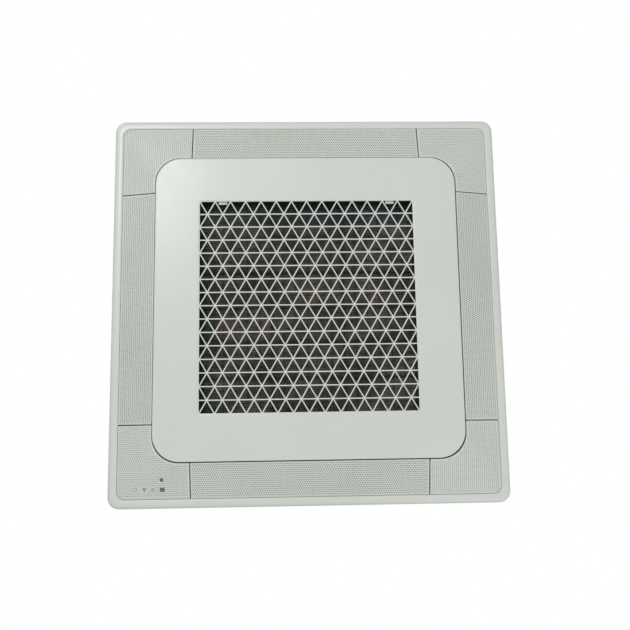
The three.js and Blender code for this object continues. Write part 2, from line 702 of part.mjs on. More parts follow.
add("intake_grille", intakeGrille(), WHITE);
const latchShape = geometryOf(latch());
add("grille_latch_left", latchShape, WHITE).position.x = -LATCH.x;
add("grille_latch_right", latchShape, WHITE).position.x = LATCH.x;
[["left", -1], ["right", 1]].forEach(([name, side]) => {
  add("hinge_pin_" + name, hingeRod(side, HINGE_HALF.pin, HINGE.pin), STEEL);
});
add("filter_frame", filterFrame(), DARK);
add("filter_net", filterNet(), DARK);
add("display_board", box(-254, -212, 260, 290, ...BOARD_Z), BOARD);
add("receiver_window", receiverWindow(), LENS);
add("indicator_window", lampWindow(), LENS);
add("outlet_seal", outletSeal(), FOAM);

add("drain_pan", drainPan(), FOAM);
add("bell_mouth", bellMouth(), DARK);
add("heat_exchanger", coil(), ALUMINIUM);
add("turbo_fan", turboFan(), DARK);
add("fan_motor", fanMotor(), STEEL);
add("fan_nut", fanNut(), STEEL);
add("casing_insulation", insulation(), FOAM);
add("control_box", controlBox(), GALVANISED);
add("control_box_cover", box(-217, -178, -134, 134, 0.6, 2.1), GALVANISED);

const { gas, liquid, drain, cable } = PORTS;
const sideHoles = {
  right: [
    box(280, 295, -200, -85, 143, 219),
    rod("x", 280, 295, cable.y, cable.z, 9.4, 20),
  ],
};
const hangerShape = geometryOf(hanger());
const diagonal = Math.PI / 4;
SIDE_NAMES.forEach((side, turns) => {
  add("casing_" + side, casingSide(sideHoles[side]), GALVANISED, turned(turns));
});
CORNER_NAMES.forEach((corner, turns) => {
  const group = new THREE.Group();
  group.rotation.z = diagonal + (turns * Math.PI) / 2;
  cassette.add(group);
  add("casing_corner_" + corner, casingCorner(), GALVANISED, group);
  add("hanger_" + corner, hangerShape, GALVANISED, group);
});
const lid = prism(octagon(BODY.half, BODY.chamfer), BODY.top - BODY.sheet, BODY.top);
add("casing_top", lid, GALVANISED);
add("pipe_plate", pipePlate(), GALVANISED);
add("gas_pipe", tube(PIPES.gas, PIPES.wall, 262, PIPES.end, gas.y, gas.z, 20), COPPER);
add("liquid_pipe", tube(PIPES.liquid, PIPES.wall, 262, PIPES.end, liquid.y, liquid.z, 16), COPPER);
add("gas_flare_nut", flareNut("gas", PIPES.gas, 15, 22), BRASS);
add("liquid_flare_nut", flareNut("liquid", PIPES.liquid, 10, 17), BRASS);
add("drain_socket", tube(PIPES.drain, 2.5, 262, PIPES.end, drain.y, drain.z, 24), WHITE);
add("cable_gland", cableGland(), DARK);
add("drain_pump", drainPump(), WHITE);
add("float_switch", floatSwitch(), WHITE);

export default cassette;
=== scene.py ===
"""Looks for the ceiling diffuser cassette. The ceiling is at z = 0: the decor panel hangs below
it and faces down, and the fan-coil unit stands above it. Sizes below are in millimetres."""

import math

import bmesh
import bpy
import numpy as np
from mathutils import Matrix, Vector
from mathutils.geometry import delaunay_2d_cdt


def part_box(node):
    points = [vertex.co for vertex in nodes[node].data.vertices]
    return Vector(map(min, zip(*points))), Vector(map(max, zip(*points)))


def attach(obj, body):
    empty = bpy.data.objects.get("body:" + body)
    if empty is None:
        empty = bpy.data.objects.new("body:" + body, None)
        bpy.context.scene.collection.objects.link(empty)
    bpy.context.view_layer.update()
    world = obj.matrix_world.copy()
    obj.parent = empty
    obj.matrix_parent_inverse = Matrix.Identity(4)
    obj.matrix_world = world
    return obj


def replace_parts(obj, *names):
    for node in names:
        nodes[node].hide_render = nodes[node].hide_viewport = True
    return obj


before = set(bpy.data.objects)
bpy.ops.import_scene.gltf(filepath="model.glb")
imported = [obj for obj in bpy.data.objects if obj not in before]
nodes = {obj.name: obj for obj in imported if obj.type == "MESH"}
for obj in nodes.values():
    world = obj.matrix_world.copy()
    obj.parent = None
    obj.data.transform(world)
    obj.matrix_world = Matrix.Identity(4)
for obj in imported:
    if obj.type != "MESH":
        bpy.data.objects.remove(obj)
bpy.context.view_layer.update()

MM = 0.001
SIDES = ("right", "hinge_side", "left", "latch_side")  # +X, +Y, -X, -Y
CORNERS = ("hinge_right", "display", "latch_left", "latch_right")

# ------------------------------------------------------------------ driving sizes
RIM = {"half": 310.0, "radius": 18.0, "inner": 296.0, "inner_r": 13.0, "crest": -8.2}
BAND = {"outer": 295.6, "outer_r": 12.8, "outer_z": -7.6, "inner": 241.7, "inner_r": 41.5}
BAND["inner_z"] = -21.8
PLATE = 2.4  # thickness of the perforated mouldings
HOLE = {"pitch": 3.6, "louvre": 0.78, "cover": 0.66, "depth": 1.5}
LOUVRE = {"half": 182.7, "pivot": 250.5, "pivot_z": -12.8, "pin": 1.8, "pin_end": 180.4}
COVER_START = 184.2
GRILLE = {"half": 240.5, "radius": 42.0, "face": -23.5, "thickness": 3.0, "edge": 3.0}
OFF_CENTRE = 0.4
ISO = {"pitch": 24.3, "columns": 14, "rows": 16, "bar": 2.0, "corner": 4.0}
ROW = ISO["pitch"] * math.sqrt(3) / 2
OPEN_X = ISO["pitch"] * ISO["columns"] / 2
OPEN_Y = ROW * ISO["rows"] / 2
WEB = {"bottom": 3.5, "top": 6.0, "inner": 234.0, "outer": 297.0}
WALL = {"inner": 234.0, "outer": 237.0, "bottom": -19.2, "radius": 36.0}
HINGE = {"x": 150.0, "y": 235.3, "z": -19.0, "boss": 2.1, "knuckle": 2.6}
SLOT = {"inner": 246.0, "outer": 294.0, "half": 183.7}
BODY = {"half": 287.5, "chamfer": 60.0, "bottom": 16.0, "top": 266.0}
SHEET = {"thickness": 0.8, "swage": 1.8, "slope": 6.0}  # the casing's sheets and their swages
LUG = {"from": 184.6, "wide": 3.0}  # pivot lugs beside the outlets
PANEL_SCREW = 262.0
# The covers' snap hooks, one along each edge.
HOOK = {"near": 270.0, "thick": 2.4, "from": 279.0, "to": 287.0, "low": -9.3, "high": 1.5}
INTO = 0.5  # how far a rib or wall behind the grille's plate starts inside it


# ------------------------------------------------------------------ camera
def make_camera():
    """Below the panel and towards its hinge side, a little off square, as one looks up at it."""
    at = Vector((-0.0311, 0.2130, -1.2684))
    forward = Vector((0.03307, -0.15568, 0.98725)).normalized()
    right = Vector((0.99939, 0.01585, -0.03098)).normalized()
    up = right.cross(forward).normalized()
    data = bpy.data.cameras.new("camera")
    data.sensor_width = 36.0
    data.lens = 46.0
    data.dof.use_dof = False
    camera = bpy.data.objects.new("camera", data)
    bpy.context.collection.objects.link(camera)
    turn = Matrix((right, up, -forward)).transposed()
    camera.matrix_world = Matrix.Translation(at) @ turn.to_4x4()
    bpy.context.scene.camera = camera


make_camera()


# ------------------------------------------------------------------ materials
class Nodes:
    """A material's node tree, with short ways to add and join nodes."""

    def __init__(self, name):
        self.material = bpy.data.materials.new(name)
        self.material.use_nodes = True
        self.tree = self.material.node_tree
        self.shader = self.tree.nodes["Principled BSDF"]
        self.place = self.add("ShaderNodeTexCoord").outputs["Object"]

    def add(self, kind, **values):
        node = self.tree.nodes.new(kind)
        for key, value in values.items():
            if key in node.inputs:
                node.inputs[key].default_value = value
            else:
                setattr(node, key, value)
        return node

    def join(self, output, target):
        self.tree.links.new(output, target)

    def noise(self, scale, detail, roughness=0.5):
        node = self.add("ShaderNodeTexNoise", Scale=scale, Detail=detail, Roughness=roughness)
        self.join(self.place, node.inputs["Vector"])
        return node.outputs["Fac"]

    def ramp(self, source, stops):
        """Colours or greys along a source: stops are (position, colour)."""
        node = self.add("ShaderNodeValToRGB")
        elements = node.color_ramp.elements
        while len(elements) < len(stops):
            elements.new(0.5)
        for element, (position, colour) in zip(elements, stops):
            element.position = position
            element.color = (*colour, 1.0)
        self.join(source, node.inputs["Fac"])
        return node.outputs["Color"]

    def colour(self, source, stops):
        """Base colour from a ramp along a source."""
        self.join(self.ramp(source, stops), self.shader.inputs["Base Color"])

    def fix(self, name, value):
        self.shader.inputs[name].default_value = value

    def bump(self, height, distance, strength):
        node = self.add("ShaderNodeBump", Strength=strength, Distance=distance)
        self.join(height, node.inputs["Height"])
        self.join(node.outputs["Normal"], self.shader.inputs["Normal"])

    def spread(self, source, start, end, low=0.0, high=1.0, **values):
        """Maps the source's values from start to end onto low to high."""
        limits = {"From Min": start, "From Max": end, "To Min": low, "To Max": high}
        node = self.add("ShaderNodeMapRange", **limits, **values)
        self.join(source, node.inputs["Value"])
        return node.outputs["Result"]

    def vary_roughness(self, source, low, high):
        self.join(self.spread(source, 0.0, 1.0, low, high), self.shader.inputs["Roughness"])


def plastic(name, clean, aged, roughness, specular=0.4):
    """Moulded plastic: slow drift from clean to aged colour, faint smudges and a fine grain."""
    made = Nodes(name)
    made.colour(made.noise(5.0, 4.0, 0.6), [(0.35, clean), (0.72, aged)])
    made.vary_roughness(made.noise(24.0, 6.0, 0.65), roughness - 0.04, roughness + 0.06)
    made.bump(made.noise(1400.0, 2.0), 0.00004, 0.35)
    made.fix("Specular IOR Level", specular)
    return made.material


def sheet_metal(name, light, dark, roughness, spangle):
    """Galvanised sheet: crystals of slightly different grey, with a little dull bloom."""
    made = Nodes(name)
    crystal = made.add("ShaderNodeTexVoronoi", Scale=spangle)
    made.join(made.place, crystal.inputs["Vector"])
    bright = made.add("ShaderNodeSeparateColor")
    made.join(crystal.outputs["Color"], bright.inputs["Color"])
    made.colour(bright.outputs["Red"], [(0.0, dark), (1.0, light)])
    made.vary_roughness(made.noise(16.0, 5.0), roughness - 0.08, roughness + 0.14)
    made.bump(made.noise(220.0, 3.0), 0.0001, 0.15)
    made.fix("Metallic", 1.0)
    return made.material


def turned_metal(name, light, dark, roughness):
    """Drawn or plated metal: fine scratches and slightly tarnished patches."""
    made = Nodes(name)
    made.colour(made.noise(60.0, 6.0, 0.7), [(0.35, light), (0.75, dark)])
    made.vary_roughness(made.noise(900.0, 2.0), roughness - 0.06, roughness + 0.1)
    made.fix("Metallic", 1.0)
    return made.material


def foam(name, light, dark):
    """Expanded bead foam: small round cells with darker joints."""
    made = Nodes(name)
    cells = made.add("ShaderNodeTexVoronoi", Scale=320.0, feature="DISTANCE_TO_EDGE")
    made.join(made.place, cells.inputs["Vector"])
    made.colour(cells.outputs["Distance"], [(0.0, dark), (0.12, light)])
    made.bump(cells.outputs["Distance"], 0.0006, 0.5)
    made.fix("Roughness", 0.92)
    return made.material


def finned(name, axis):
    """Closely pitched aluminium fins: fine dark lines across one axis of the piece, painted shade in
    the gaps between the fins.
    """
    made = Nodes(name)
    fins = made.add("ShaderNodeTexWave", Scale=110.0, bands_direction=axis, wave_profile="SIN")
    made.join(made.place, fins.inputs["Vector"])
    # Painted shade: the near-black stripes stand for the shaded gaps between the fins.
    made.colour(fins.outputs["Fac"], [(0.3, (0.06, 0.065, 0.07)), (0.7, (0.5, 0.52, 0.54))])
    made.bump(fins.outputs["Fac"], 0.0006, 0.7)
    made.fix("Metallic", 0.8)
    made.fix("Roughness", 0.42)
    return made.material


def filter_net(name):
    """A woven net, partly see-through, with brown-grey dust lying on its threads, and a painted shadow
    that darkens it along its -X and -Y sides.
    """
    made = Nodes(name)
    threads = []
    for axis, scale in (("X", 150.0), ("Y", 100.0)):
        thread = made.add("ShaderNodeTexWave", Scale=scale, bands_direction=axis)
        made.join(made.place, thread.inputs["Vector"])
        threads.append(thread.outputs["Fac"])
    weave = made.add("ShaderNodeMath", operation="MAXIMUM")
    made.join(threads[0], weave.inputs[0])
    made.join(threads[1], weave.inputs[1])
    dust = made.noise(14.0, 5.0, 0.65)
    dusty = made.ramp(dust, [(0.38, (0.055, 0.055, 0.052)), (0.62, (0.17, 0.13, 0.11))])
    # Painted shadow of the grille plate's edge: along the net's -X and -Y sides the dust gives way to
    # a plain dark grey.
    place = made.add("ShaderNodeSeparateXYZ")
    made.join(made.place, place.inputs["Vector"])
    margins = made.add("ShaderNodeMath", operation="MULTIPLY")
    shadow_x, shadow_y, blend = 26.0, 34.0, 6.0
    for i, (axis, edge) in enumerate((("X", shadow_x - OPEN_X), ("Y", shadow_y - OPEN_Y))):
        start, end = (edge - blend) * MM, (edge + blend) * MM
        past_shadow = made.spread(place.outputs[axis], start, end, interpolation_type="SMOOTHSTEP")
        made.join(past_shadow, margins.inputs[i])
    # The dark grey of the painted shadow; the dust shows where the shadow ends.
    colour = made.add("ShaderNodeMixRGB", Color1=(0.05, 0.058, 0.056, 1))
    made.join(margins.outputs[0], colour.inputs["Fac"])
    made.join(dusty, colour.inputs["Color2"])
    made.join(colour.outputs["Color"], made.shader.inputs["Base Color"])
    cover = made.spread(weave.outputs[0], 0.45, 0.9, 0.2, 0.95)
    made.join(cover, made.shader.inputs["Alpha"])
    made.fix("Roughness", 0.8)
    return made.material


WHITE = plastic("white_plastic", (0.72, 0.75, 0.71), (0.69, 0.715, 0.665), 0.3)
PERFORATED = plastic("perforated_plastic", (0.69, 0.72, 0.68), (0.65, 0.67, 0.62), 0.46)
INNER_WHITE = plastic("inner_plastic", (0.66, 0.68, 0.65), (0.60, 0.62, 0.58), 0.5)
# Painted shade: the blind holes' walls and floors are dark grey, standing for the shade inside holes
# that would go through.
PAINTED_HOLE_SHADE = plastic("painted_hole_shade", (0.16, 0.17, 0.16), (0.13, 0.135, 0.125), 0.8)
BLACK = plastic("black_plastic", (0.022, 0.024, 0.025), (0.032, 0.031, 0.029), 0.5)
FILTER_BLACK = plastic("filter_plastic", (0.016, 0.018, 0.019), (0.024, 0.024, 0.023), 0.6)
FAN_GREY = plastic("fan_plastic", (0.035, 0.034, 0.034), (0.060, 0.052, 0.046), 0.55)
MARK_GREY = plastic("printed_mark", (0.16, 0.17, 0.165), (0.18, 0.185, 0.18), 0.45)
FAINT_MARK = plastic("faint_mark", (0.30, 0.32, 0.30), (0.28, 0.30, 0.28), 0.5)
SMOKED = plastic("smoked_window", (0.15, 0.17, 0.16), (0.13, 0.145, 0.14), 0.3, specular=0.5)
LABEL = plastic("blank_label", (0.70, 0.70, 0.67), (0.62, 0.61, 0.55), 0.35)
BOARD = plastic("circuit_board", (0.02, 0.13, 0.055), (0.03, 0.16, 0.07), 0.35)
GALVANISED = sheet_metal("galvanised_steel", (0.60, 0.62, 0.64), (0.51, 0.53, 0.55), 0.42, 115.0)
PLATED = turned_metal("plated_steel", (0.58, 0.58, 0.56), (0.40, 0.39, 0.36), 0.32)
COPPER = turned_metal("copper", (0.80, 0.42, 0.27), (0.52, 0.25, 0.14), 0.28)
BRASS = turned_metal("brass", (0.76, 0.58, 0.27), (0.55, 0.40, 0.17), 0.3)
FOAM = foam("bead_foam", (0.74, 0.74, 0.71), (0.50, 0.50, 0.47))
FINS_X = finned("fins_x", "X")
NET = filter_net("filter_net")


# ------------------------------------------------------------------ mesh helpers
def piece(name, points, faces, material, body, sharp=38.0, face_materials=None):
    """A closed mesh piece from points in millimetres, shaded smooth up to a sharp angle."""
    mesh = bpy.data.meshes.new(name)
    mesh.from_pydata([Vector(p) * MM for p in points], [], faces)
    for each in material if isinstance(material, tuple) else (material,):
        mesh.materials.append(each)
    if face_materials is not None:
        mesh.polygons.foreach_set("material_index", face_materials)
    shape = bmesh.new()
    shape.from_mesh(mesh)
    bmesh.ops.recalc_face_normals(shape, faces=shape.faces)
    shape.to_mesh(mesh)
    shape.free()
    mesh.polygons.foreach_set("use_smooth", [True] * len(mesh.polygons))
    mesh.set_sharp_from_angle(angle=math.radians(sharp))
    obj = bpy.data.objects.new(name, mesh)
    bpy.context.collection.objects.link(obj)
    if body:
        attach(obj, body)
    return obj


def turned_copy(source, name, turns, body):
    """The same mesh turned about the panel's centre by quarter turns."""
    obj = bpy.data.objects.new(name, source.data)
    bpy.context.collection.objects.link(obj)
    for modifier in source.modifiers:
        copy = obj.modifiers.new(modifier.name, modifier.type)
        copy.width, copy.segments = modifier.width, modifier.segments
        copy.limit_method, copy.harden_normals = "ANGLE", True
    obj.matrix_world = Matrix.Rotation(turns * math.pi / 2, 4, "Z")
    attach(obj, body)
    return obj


def on_each_side(source, label, bodies, replaced=None):
    """Copies of a piece made for the +X side, one on each side, in place of the source."""
    for turns, side in enumerate(bodies):
        obj = turned_copy(source, f"{label}_{side}", turns, bodies[side])
        if replaced:
            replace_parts(obj, f"{replaced}_{side}")
    bpy.data.objects.remove(source)


def bevel(obj, width, segments=2):
    """Softens a piece's sharp edges."""
    modifier = obj.modifiers.new("edge", "BEVEL")
    modifier.width = width * MM
    modifier.segments = segments
    modifier.limit_method = "ANGLE"
    modifier.harden_normals = True
    return obj


def rounded_loop(half_x, half_y, radius, z, steps=16):
    """A level rectangle with rounded corners."""
    points = []
    for corner in range(4):
        cx = (half_x - radius) * (1 if corner in (0, 3) else -1)
        cy = (half_y - radius) * (1 if corner < 2 else -1)
        for i in range(steps + 1):
            angle = (corner + i / steps) * math.pi / 2
            points.append((cx + radius * math.cos(angle), cy + radius * math.sin(angle), z))
    return points


def lofted(loops, closed=True):
    """Points and quads through loops of equal length. Closed: the last loop joins the first."""
    count = len(loops[0])
    points = [p for loop in loops for p in loop]
    faces = []
    for row in range(len(loops) if closed else len(loops) - 1):
        here, there = row * count, (row + 1) % len(loops) * count
        for i in range(count):
            j = (i + 1) % count
            faces.append((here + i, here + j, there + j, there + i))
    return points, faces


def square_ring(section, half, radius, steps=16, share=1.0):
    """A ring with a square plan, from a section of (half size, z).

    The corner radius changes by a share of the change in half size."""
    loops = []
    for size, z in section:
        corner = max(radius + share * (size - half), 0.5)
        loops.append(rounded_loop(size, size, corner, z, steps))
    return lofted(loops)


def square_tube(inner, outer, low, high, radius, steps=16):
    """A square ring with a rectangular section. The radius belongs to its outer corners."""
    section = [(inner, low), (outer, low), (outer, high), (inner, high)]
    return square_ring(section, outer, radius, steps)


def boxes(spans):
    """Points and faces of separate boxes, each given as (x0, x1, y0, y1, z0, z1)."""
    points, faces = [], []
    for x0, x1, y0, y1, z0, z1 in spans:
        base = len(points)
        points += [(x, y, z) for z in (z0, z1) for x, y in ((x0, y0), (x1, y0), (x1, y1), (x0, y1))]
        sides = ((0, 3, 2, 1), (4, 5, 6, 7), (0, 1, 5, 4), (1, 2, 6, 5), (2, 3, 7, 6), (3, 0, 4, 7))
        faces += [tuple(base + i for i in side) for side in sides]
    return points, faces


def capped(loops):
    """Points and faces through loops of equal length, with the first and last loops filled."""
    points, faces = lofted(loops, closed=False)
    count = len(loops[0])
    faces += [tuple(range(count)), tuple(range(len(points) - count, len(points)))]
    return points, faces


def prism(outline, z0, z1):
    """Points and faces of a plan outline carried straight up."""
    return capped([[(x, y, z) for x, y in outline] for z in (z0, z1)])


def circle(u, v, radius, sides):
    """Points of a circle in its own plane."""
    angles = [2 * math.pi * i / sides for i in range(sides)]
    return [(u + radius * math.cos(a), v + radius * math.sin(a)) for a in angles]


def revolved(profile, centre=(0, 0), sides=96):
    """Points and faces of a solid of revolution about an upright axis, from (radius, z)."""
    return lofted([[(x, y, z) for x, y in circle(*centre, r, sides)] for r, z in profile])


def merged(*parts):
    """Points and faces of several parts as one."""
    points, faces = [], []
    for more_points, more_faces in parts:
        base = len(points)
        points += list(more_points)
        faces += [tuple(base + i for i in face) for face in more_faces]
    return points, faces


def rod(axis, start, end, u, z, radius, sides=24):
    """Points and faces of a level cylinder along x or y, at the other level coordinate u."""
    points, faces = prism(circle(u, z, radius, sides), start, end)
    if axis == "x":
        return [(along, across, up) for across, up, along in points], faces
    return [(across, along, up) for across, up, along in points], faces


# ------------------------------------------------------------------ perforated mouldings
def band_depth(x, y):
    """Share of the way from the grille's edge (0) to the rim (1) at a point of the band."""
    low, high = 0.0, 1.0
    for _ in range(24):
        middle = (low + high) / 2
        half = BAND["inner"] + middle * (BAND["outer"] - BAND["inner"])
        radius = BAND["inner_r"] + middle * (BAND["outer_r"] - BAND["inner_r"])
        dx, dy = abs(x) - (half - radius), abs(y) - (half - radius)
        inside = math.hypot(max(dx, 0), max(dy, 0)) <= radius and max(dx, dy) <= radius
        low, high = (low, middle) if inside else (middle, high)
    return (low + high) / 2


def band_z(x, y):
    return BAND["inner_z"] + band_depth(x, y) * (BAND["outer_z"] - BAND["inner_z"])


def inset(outline, distance):
    """The outline moved inwards by a distance, corner by corner; it runs anticlockwise."""
    points = np.array(outline)
    along = np.roll(points, -1, axis=0) - points
    along /= np.linalg.norm(along, axis=1)[:, None]
    normal = np.stack([-along[:, 1], along[:, 0]], axis=1)
    before = np.roll(normal, 1, axis=0)
    mitre = normal + before
    mitre /= np.maximum((mitre * normal).sum(axis=1), 0.35)[:, None]
    return points + mitre * distance


def inside_mask(points, outline):
    """Which points lie inside an outline, by counting the edges each one passes under."""
    x, y = points[:, 0], points[:, 1]
    hits = np.zeros(len(points), int)
    for (x0, y0), (x1, y1) in zip(outline, np.roll(outline, -1, axis=0)):
        if x0 == x1:
            continue
        spans = (x0 <= x) != (x1 <= x)
        hits += spans & (y < y0 + (x - x0) * (y1 - y0) / (x1 - x0))
    return hits % 2 == 1


def hole_centres(outline, margin, keep_out=()):
    """Staggered rows of hole centres inside an outline, clear of its edge and of marks."""
    clear = inset(outline, margin)
    low, high = np.min(outline, axis=0), np.max(outline, axis=0)
    pitch = HOLE["pitch"]
    step = pitch * math.sqrt(3) / 2
    rows = []
    for row in range(int((high[0] - low[0]) / step) + 1):
        y = np.arange(low[1] + (row % 2) * pitch / 2, high[1], pitch)
        rows.append(np.stack([np.full_like(y, low[0] + row * step), y], axis=1))
    centres = np.concatenate(rows)
    centres = centres[inside_mask(centres, clear)]
    for x, y, reach in keep_out:
        centres = centres[np.hypot(centres[:, 0] - x, centres[:, 1] - y) > reach]
    return centres


def filled(outline):
    """Triangles that fill an outline, as indices into it."""
    edges = [(i, (i + 1) % len(outline)) for i in range(len(outline))]
    return delaunay_2d_cdt([Vector(p) for p in outline], edges, [], 1, 1e-5)[2]


def perforated_plate(name, outline, radius, keep_out=(), margin=2.6):
    """A moulding on the sloping band: fine blind holes in its face, painted dark inside as shade,
    rounded edges, flat back.
    """
    sides = 6
    soft = 0.9
    face_edge = inset(outline, soft)
    count = len(face_edge)
    centres = hole_centres(outline, margin, keep_out)
    turn = np.arange(sides) * 2 * math.pi / sides
    ring = radius * np.stack([np.cos(turn), np.sin(turn)], axis=1)
    rings = (centres[:, None, :] + ring[None]).reshape(-1, 2)
    plan = np.concatenate([face_edge, rings])
    edge = list(range(count))
    holes = [[count + h * sides + i for i in range(sides)] for h in range(len(centres))]
    fixed = [pair for loop in [edge, *holes] for pair in zip(loop, loop[1:] + loop[:1])]
    found = delaunay_2d_cdt([Vector(p) for p in plan], fixed, [], 0, 1e-5)
    if len(found[0]) != len(plan):
        raise RuntimeError(f"{name}: its holes touch each other or its edge")
    corners = np.array(found[2])
    inside = inside_mask(plan[corners].mean(axis=1), face_edge)
    owner = (corners - count) // sides  # negative on the edge, else the hole's number
    in_hole = (owner[:, 0] == owner[:, 1]) & (owner[:, 1] == owner[:, 2]) & (owner[:, 0] >= 0)
    faces = [tuple(map(int, face)) for face in corners[inside & ~in_hole]]
    points = [(x, y, band_z(x, y)) for x, y in plan]
    dark = [0] * len(faces)
    # The holes' walls and floors take the second material, painted shade.
    for hole in holes:
        base = len(points)
        points += [(points[i][0], points[i][1], points[i][2] + HOLE["depth"]) for i in hole]
        for i in range(sides):
            j = (i + 1) % sides
            faces.append((hole[i], hole[j], base + j, base + i))
        faces.append(tuple(range(base, base + sides)))
        dark += [1] * (sides + 1)
    previous = edge
    for distance, rise in [(0.27, 0.27), (0.0, soft), (0.0, PLATE)]:
        base = len(points)
        moved = inset(outline, distance)
        points += [(x, y, band_z(*outline[i]) + rise) for i, (x, y) in enumerate(moved)]
        for i in range(count):
            j = (i + 1) % count
            faces.append((previous[i], previous[j], base + j, base + i))
        previous = list(range(base, base + count))
    faces += [tuple(previous[i] for i in face) for face in filled(outline)]
    dark += [0] * (len(faces) - len(dark))
    return piece(name, points, faces, (PERFORATED, PAINTED_HOLE_SHADE), None, 50.0, dark)


def subdivided(corners, spacing):
    """Points along a closed outline, no further apart than a spacing."""
    points = []
    for start, end in zip(corners, corners[1:] + corners[:1]):
        steps = max(1, round(math.dist(start, end) / spacing))
        for i in range(steps):
            share = i / steps
            points.append(
                (start[0] + share * (end[0] - start[0]), start[1] + share * (end[1] - start[1]))
            )
    return points


# ------------------------------------------------------------------ louvres
def make_louvres():
    """Perforated blades, each with a back lip and five stiffening arms."""
    low, high = BAND["inner"], BAND["outer"]
    half = LOUVRE["half"]
    outline = subdivided([(low, -half), (high, -half), (high, half), (low, half)], 12.0)
    blade = perforated_plate("louvre_blade", outline, HOLE["louvre"])
    bodies = {side: f"louvre_{side}_body" for side in SIDES}
    on_each_side(blade, "blade", bodies, "louvre")
    lip = boxes([(high - 1.9, high - 0.1, -half + 0.2, half - 0.2, -6.4, -3.9)])
    pivot_x, pivot_z = LOUVRE["pivot"], LOUVRE["pivot_z"]
    arm_outline = [
        (pivot_x - 4.5, band_z(pivot_x - 4.5, 0) + 1.5),
        (pivot_x + 30.0, band_z(pivot_x + 30.0, 0) + 1.5),
        (pivot_x + 30.0, band_z(pivot_x + 30.0, 0) + 3.2),
        (pivot_x + 3.6, pivot_z + 3.6),
        (pivot_x - 3.2, pivot_z + 3.6),
    ]
    arms = []
    for y in (-half + 0.2, -half / 2, -1.5, half / 2, half - 3.2):
        points, faces = prism(arm_outline, y, y + 3.0)
        arms.append(([(x, yy, z) for x, z, yy in points], faces))
    ribs = bevel(piece("louvre_ribs", *merged(lip, *arms), INNER_WHITE, None), 0.3)
    on_each_side(ribs, "louvre_ribs", bodies)


# ------------------------------------------------------------------ corner covers
LAMP = (-226.3, 266.4)
RECEIVER = (-225.5, 281.1)
SIGNS = ((-239.7, 280.9), (-252.7, 280.6), (-266.8, 280.5))  # filter, fan, ring


def make_corner_covers():
    """L-shaped perforated covers: their inner edge follows the grille's rounded corner."""
    def corner_arc(half, radius, steps):
        loop = rounded_loop(half, half, radius, 0, steps)
        return [(x, y) for x, y, _ in loop[: steps + 1]]

    start = COVER_START
    outer = corner_arc(BAND["outer"] - 0.05, BAND["outer_r"], 8)
    inner = corner_arc(BAND["inner"] + 0.05, BAND["inner_r"], 18)[::-1]
    rough = [(outer[0][0], start), *outer, (start, outer[-1][1]), (start, inner[0][1]), *inner]
    rough.append((inner[-1][0], start))
    outline = subdivided(rough, 6.0)
    plain = perforated_plate("corner_cover", outline, HOLE["cover"])
    marks = [(*LAMP, 4.2), (*RECEIVER, 5.6)] + [(*sign, 5.4) for sign in SIGNS]
    # The display cover's marks, a quarter turn back, where every cover is first made.
    keep_out = [(y, -x, reach) for x, y, reach in marks]
    display = perforated_plate("display_cover", outline, HOLE["cover"], keep_out)
    across = (HOOK["near"], HOOK["near"] + HOOK["thick"])
    along = (HOOK["from"], HOOK["to"])
    height = (HOOK["low"], HOOK["high"])
    pair = boxes([(*across, *along, *height), (*along, *across, *height)])
    hooks = bevel(piece("cover_hooks", *pair, INNER_WHITE, None), 0.4)
    for turns, corner in enumerate(CORNERS):
        body = "cover_" + corner
        source = display if corner == "display" else plain
        cover = turned_copy(source, "cover_skin_" + corner, turns, body)
        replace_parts(cover, "corner_cover_" + corner)
        turned_copy(hooks, "cover_hooks_" + corner, turns, body)
    for source in (plain, display, hooks):
        bpy.data.objects.remove(source)


def on_display(name, points, faces, material):
    """A piece on the display cover: its heights are measured from the cover's sloping face."""
    on_face = [(x, y, band_z(x, y) + z) for x, y, z in points]
    return piece(name, on_face, faces, material, "cover_display")


def make_display():
    """The lamp's lens, the receiver's window, and three generic marks beside them: a ring,
    a three-armed fan and a slatted filter."""
    proud, thick = -0.3, 0.12
    lens = revolved([(0.05, proud), (2.3, proud), (3.0, -0.05), (3.0, 2.2), (0.05, 2.2)], LAMP, 32)
    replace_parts(on_display("lamp_lens", *lens, SMOKED), "indicator_window")
    x, y = RECEIVER
    loops = [
        [(x + px, y + py, z) for px, py, z in rounded_loop(3.8 - edge, 3.3 - edge, 1.0, z, 5)]
        for edge, z in ((0.4, proud), (0.0, -0.05), (0.0, 2.2))
    ]
    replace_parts(on_display("receiver_lens", *capped(loops), SMOKED), "receiver_window")

    filter_at, fan_at, ring_at = SIGNS
    ring = revolved([(2.5, 0.2), (3.3, 0.2), (3.3, -thick), (2.5, -thick)], ring_at, 40)
    on_display("sign_ring", *ring, FAINT_MARK)
    petals = []
    for blade in range(3):
        angle = blade * 2 * math.pi / 3 + math.pi / 2
        outline = [
            (
                fan_at[0] + 1.9 * math.cos(angle) + 1.5 * math.cos(t * math.pi / 8),
                fan_at[1] + 1.9 * math.sin(angle) + 1.1 * math.sin(t * math.pi / 8),
            )
            for t in range(16)
        ]
        petals.append(prism(outline, -thick, 0.2))
    on_display("sign_fan", *merged(*petals), MARK_GREY)
    slats = [
        (filter_at[0] - 3, filter_at[0] + 3, filter_at[1] + y, filter_at[1] + y + 0.7, -thick, 0.2)
        for y in (-2.6, -0.9, 0.8, 2.5)
    ]
    on_display("sign_filter", *boxes(slats), FAINT_MARK)


make_louvres()
make_corner_covers()
make_display()


